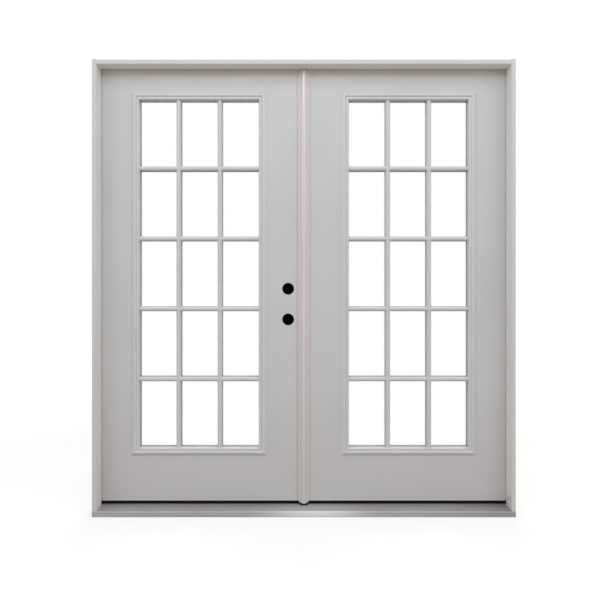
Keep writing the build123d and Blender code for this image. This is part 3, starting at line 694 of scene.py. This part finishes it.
def drive_screws(piece_name, cad_name, body, seed):
    """Screws in place of the plain ones of a CAD piece."""
    recess_width = 0.24
    recess_depth = 0.6
    screws = [screw_measures(points) for points in solids_of(cad_name)]
    starts, aims, measures = zip(*screws)
    head_radius, head_height, shank_radius, length = measures[0]
    seats = bpy.data.meshes.new(piece_name + "_seats")
    seats.from_pydata(starts, [], [])
    carried = seats.attributes.new("aim", "FLOAT_VECTOR", "POINT")
    for seat, aim in zip(carried.data, aims):
        seat.vector = aim
    seat_points = bpy.data.objects.new(piece_name + "_seats", seats)
    bpy.context.scene.collection.objects.link(seat_points)
    modifier = seat_points.modifiers.new("screws", "NODES")
    modifier.node_group = screws_on_points
    sizes = {"Head Radius": head_radius, "Head Height": head_height,
             "Shank Radius": shank_radius, "Length": length,
             "Recess Width": head_radius * recess_width,
             "Recess Depth": head_height * recess_depth, "Seed": seed, "Finish": screw_zinc}
    for item in screws_on_points.interface.items_tree:
        if item.in_out == "INPUT" and item.name in sizes:
            modifier[item.identifier] = sizes[item.name]
    graph = bpy.context.evaluated_depsgraph_get()
    mesh = bpy.data.meshes.new_from_object(seat_points.evaluated_get(graph))
    bpy.data.objects.remove(seat_points)
    mesh.name = piece_name
    piece = bpy.data.objects.new(piece_name, mesh)
    bpy.context.scene.collection.objects.link(piece)
    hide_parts(cad_name)
    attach(piece, body)


drive_screws("jamb_plate_screws", "jamb_hinge_screws", "frame", seed=1)
drive_screws("corner_screws", "frame_screws", "frame", seed=2)
drive_screws("active_plate_screws", "active_hinge_screws", "active_leaf", seed=3)
drive_screws("passive_plate_screws", "passive_hinge_screws", "passive_leaf", seed=4)
drive_screws("stem_screws", "astragal_screws", "passive_leaf", seed=5)


# Bore caps: black moulded discs that close the indoor ends of the two lock bores, darker than
# plastic, as painted shade at the bottom of the bores.
# Pressed on over the steel skin.

cap_black_bore_shade = dark_moulding_finish(
    "cap_black_bore_shade", dark=(0.002, 0.002, 0.002), pale=(0.004, 0.004, 0.004),
    grain_scale=800.0, roughness=0.6, gloss=0.04)
cover(cap_black_bore_shade, "active_bore_caps")


# Astragal: a wooden stem screwed to the passive leaf's meeting edge, with a nose over the joint.
# Primed as the frame is and rubbed smooth on its ridge; the ridge's paler colour is a painted
# highlight against greyed flanks, and painted shade darkens it towards the foot.
# Seals and boots close it, and plated steel flush bolts slide in its ends.

ridge_gloss = 0.9
ridge_edge = 0.0105
flank_start = 0.0135
flank_painted_shade = (0.518, 0.492, 0.490)
flank_shade_share = 0.85
flank_roughness = 0.25
nose_shade_high = 0.95
nose_shade_share = 0.60

# The primer's pale colour is the ridge's painted highlight.
astragal_primer, tree, shader, place = primed_finish(
    "astragal_primer", relief=0.00008, along=upright, patch_scale=3.0, grain_scale=300.0,
    clean=(0.622, 0.588, 0.578), tinted=(0.590, 0.552, 0.541), smooth=0.16, rough=0.26)
shader.inputs["Specular IOR Level"].default_value = ridge_gloss
from_ridge = away_from(tree, "X", 0.0)
height = along_axis(tree, "Z")
# Painted highlight and shade: the flanks are greyed, leaving the ridge paler, as light catches it.
lay_over(tree, shader, flank_painted_shade, from_ridge, flank_start, ridge_edge, flank_shade_share)
# Painted shade: the nose darkens towards the foot.
lay_over(tree, shader, foot_shade, height, foot_shade_low, nose_shade_high, nose_shade_share)
rubbed = shader.inputs["Roughness"].links[0].from_socket
matt_flank = ramped(tree, from_ridge, ridge_edge, flank_start, 0.0, flank_roughness)
tree.links.new(calculated(tree, "ADD", rubbed, matt_flank), shader.inputs["Roughness"])
cover(astragal_primer, "astragal_stem", "astragal_nose")
# The boots' dark foam also stands in for the shadow under the astragal's foot on the tread: partly
# painted shade.
cover(seal_foam, "astragal_seals")
cover(hinge_steel, "top_bolt", "bottom_bolt", "head_strike", "sill_bolt_socket", "strike_plates")


# Studio: a pale floor, a white surround, and soft lamps in front, at both sides and behind.
# Camera, glass and metal see a white floor and surround; near the doors the floor keeps their
# shadow, since its own glow grows with the distance.

def seen_directly(tree):
    """One where a ray comes from the camera, a reflection or the glass, and nought for lighting."""
    path = tree.nodes.new("ShaderNodeLightPath")
    seen = path.outputs["Is Camera Ray"]
    for name in ("Is Glossy Ray", "Is Transmission Ray"):
        seen = calculated(tree, "MAXIMUM", seen, path.outputs[name])
    return seen, path


floor_half = 14.0
floor_cream = (0.57, 0.52, 0.465)
floor_shade = (0.55, 0.50, 0.445)
glow_tint = (0.91, 0.99, 1.07)
glow_start = 2.0
glow_end = 4.5
glow_at_start = 0.52
glow_at_end = 0.78

corners = [(-floor_half, -floor_half, 0.0), (floor_half, -floor_half, 0.0),
           (floor_half, floor_half, 0.0), (-floor_half, floor_half, 0.0)]
floor_mesh = bpy.data.meshes.new("floor")
floor_mesh.from_pydata(corners, [], [(0, 1, 2, 3)])
floor = bpy.data.objects.new("floor", floor_mesh)
bpy.context.scene.collection.objects.link(floor)
floor_pale, tree, shader, place = new_finish("floor_pale", roughness=0.9)
floor_tone = two_tone(tree, clouds(tree, place, scale=3.0), floor_cream, floor_shade)
tree.links.new(floor_tone, shader.inputs["Base Color"])
shader.inputs["Specular IOR Level"].default_value = 0.0
put(tree, glow_tint, shader.inputs["Emission Color"])
seen, path = seen_directly(tree)
distance = tree.nodes.new("ShaderNodeVectorMath")
distance.operation = "LENGTH"
tree.links.new(place, distance.inputs[0])
glow = ramped(tree, distance.outputs["Value"], glow_start, glow_end, glow_at_start, glow_at_end)
tree.links.new(calculated(tree, "MULTIPLY", glow, seen), shader.inputs["Emission Strength"])
white = tree.nodes.new("ShaderNodeEmission")
through = tree.nodes.new("ShaderNodeMixShader")
tree.links.new(path.outputs["Is Transmission Ray"], through.inputs["Fac"])
tree.links.new(shader.outputs["BSDF"], through.inputs[1])
tree.links.new(white.outputs["Emission"], through.inputs[2])
tree.links.new(through.outputs["Shader"], tree.nodes["Material Output"].inputs["Surface"])
floor_mesh.materials.append(floor_pale)

fill_strength = 0.565
surround_white = (1.0, 1.0, 1.0)
surround = bpy.data.worlds.new("surround")
surround.use_nodes = True
tree = surround.node_tree
sky = tree.nodes["Background"]
put(tree, surround_white, sky.inputs["Color"])
seen, path = seen_directly(tree)
tree.links.new(ramped(tree, seen, 0.0, 1.0, fill_strength, 1.0), sky.inputs["Strength"])
bpy.context.scene.world = surround


def soft_lamp(name, place, aim, width, height, watts, colour):
    """Large soft box that only lights: the camera and the glass don't see it."""
    data = bpy.data.lights.new(name, "AREA")
    data.shape = "RECTANGLE"
    data.size = width
    data.size_y = height
    data.energy = watts
    data.color = colour
    lamp = bpy.data.objects.new(name, data)
    lamp.location = place
    lamp.rotation_euler = (Vector(aim) - Vector(place)).to_track_quat("-Z", "Y").to_euler()
    lamp.visible_camera = False
    lamp.visible_transmission = False
    bpy.context.scene.collection.objects.link(lamp)


daylight = (0.98, 0.99, 1.0)
cool_daylight = (0.965, 0.98, 1.0)
soft_lamp("front_lamp", place=(0.2, -3.1, 4.1), aim=(0.0, 0.0, 1.3),
          width=4.5, height=2.6, watts=47.0, colour=daylight)
soft_lamp("left_lamp", place=(-4.4, -3.0, 3.8), aim=(0.3, 0.0, 1.3),
          width=3.4, height=4.0, watts=68.0, colour=cool_daylight)
soft_lamp("right_lamp", place=(4.4, -3.0, 3.8), aim=(-0.3, 0.0, 1.3),
          width=3.4, height=4.0, watts=71.0, colour=daylight)
soft_lamp("ceiling_lamp", place=(-0.25, -2.6, 2.98), aim=(0.0, 0.0, 2.0),
          width=0.6, height=0.4, watts=9.0, colour=daylight)
soft_lamp("back_lamp", place=(0.4, 3.4, 3.6), aim=(0.0, 0.0, 1.2),
          width=4.5, height=2.6, watts=60.0, colour=daylight)


# Camera: level and square to the doors, at the middle of their height.
# The film is shifted a little, so that they stand where the photograph has them.

picture_width = 600
picture_right = -3.8
picture_up = -20.1
camera_distance = 2.554
camera_height = 1.052

camera_data = bpy.data.cameras.new("camera")
camera_data.sensor_width = 36.0
camera_data.lens = 33.78
camera_data.shift_x = picture_right / picture_width
camera_data.shift_y = picture_up / picture_width
camera = bpy.data.objects.new("camera", camera_data)
camera.location = (0.0, -camera_distance, camera_height)
camera.rotation_euler = (math.pi / 2, 0.0, 0.0)
bpy.context.scene.collection.objects.link(camera)
bpy.context.scene.camera = camera
bpy.context.scene.view_settings.view_transform = "Standard"
